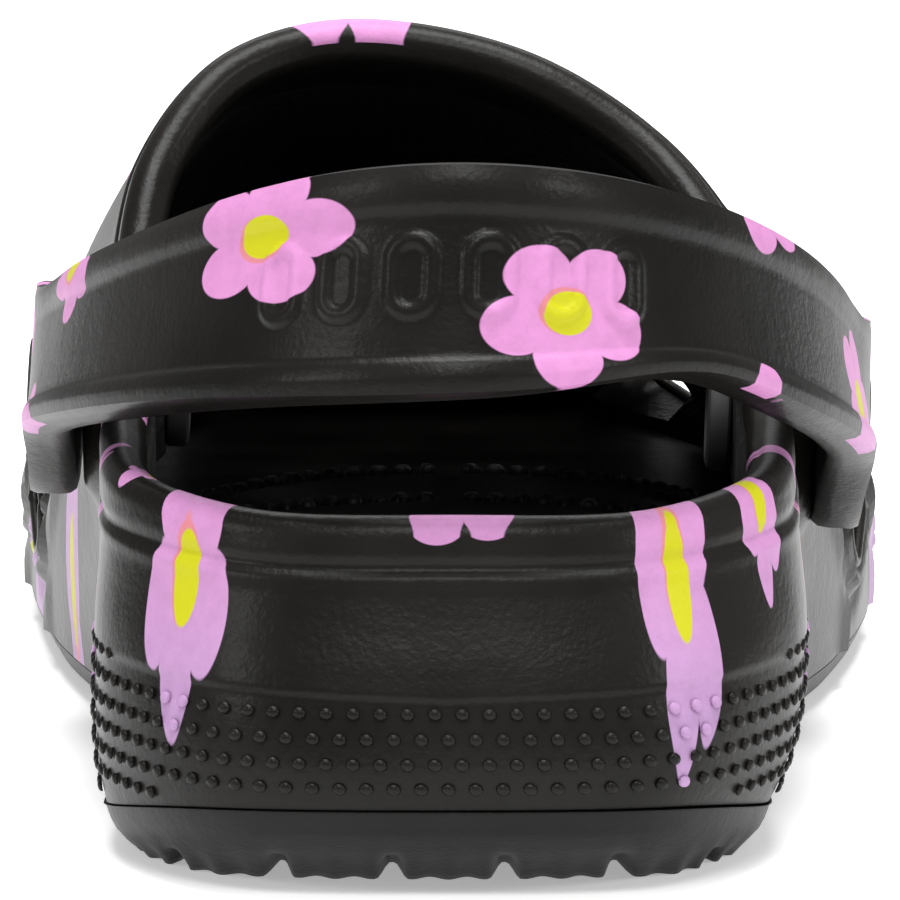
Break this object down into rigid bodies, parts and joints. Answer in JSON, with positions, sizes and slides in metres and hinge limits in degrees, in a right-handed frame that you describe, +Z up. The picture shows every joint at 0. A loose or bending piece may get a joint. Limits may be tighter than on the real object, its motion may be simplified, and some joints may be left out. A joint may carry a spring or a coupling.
{
  "type": "foam clog",
  "caption": "Slip-on moulded foam clog for the right foot, low open heel, vented closed toe, and a heel strap that swings on two snap rivets.",
  "frame": {"origin": "under the middle of the whole clog's bounding box, on the ground", "axes": "+X to the outer (little toe) side of the right foot, +Y from heel to toe, +Z up"},
  "size_m": [0.111, 0.2862, 0.0865],
  "materials": {
    "foam_upper": "satin black closed-cell foam with a printed flower pattern",
    "foam_tread": "satin black closed-cell foam, smoother",
    "foam_strap": "satin black foam with a printed flower pattern",
    "rivet_plastic": "smooth black moulded plastic"
  },
  "bodies": {
    "clog_body": {"upper_body": "foam_upper", "outsole": "foam_tread"},
    "strap": {"heel_strap": "foam_strap"},
    "rivet_inner": {"rivet_stud_inner": "rivet_plastic", "rivet_cap_inner": "rivet_plastic"},
    "rivet_outer": {"rivet_stud_outer": "rivet_plastic", "rivet_cap_outer": "rivet_plastic"}
  },
  "joints": [
    {"name": "strap_swing", "type": "hinge", "parent": "clog_body", "child": "strap", "pos_m": [0.00031, -0.03571, 0.041], "axis": [-0.999, 0, 0.0445], "range_deg": [-2.5, 110]},
    {"name": "rivet_inner_spin", "type": "hinge", "parent": "clog_body", "child": "rivet_inner", "pos_m": [-0.0333, -0.03571, 0.0425], "axis": [-0.999, 0, 0.0445], "continuous": true},
    {"name": "rivet_outer_spin", "type": "hinge", "parent": "clog_body", "child": "rivet_outer", "pos_m": [0.0339, -0.03571, 0.0395], "axis": [-0.999, 0, 0.0445], "continuous": true}
  ]
}
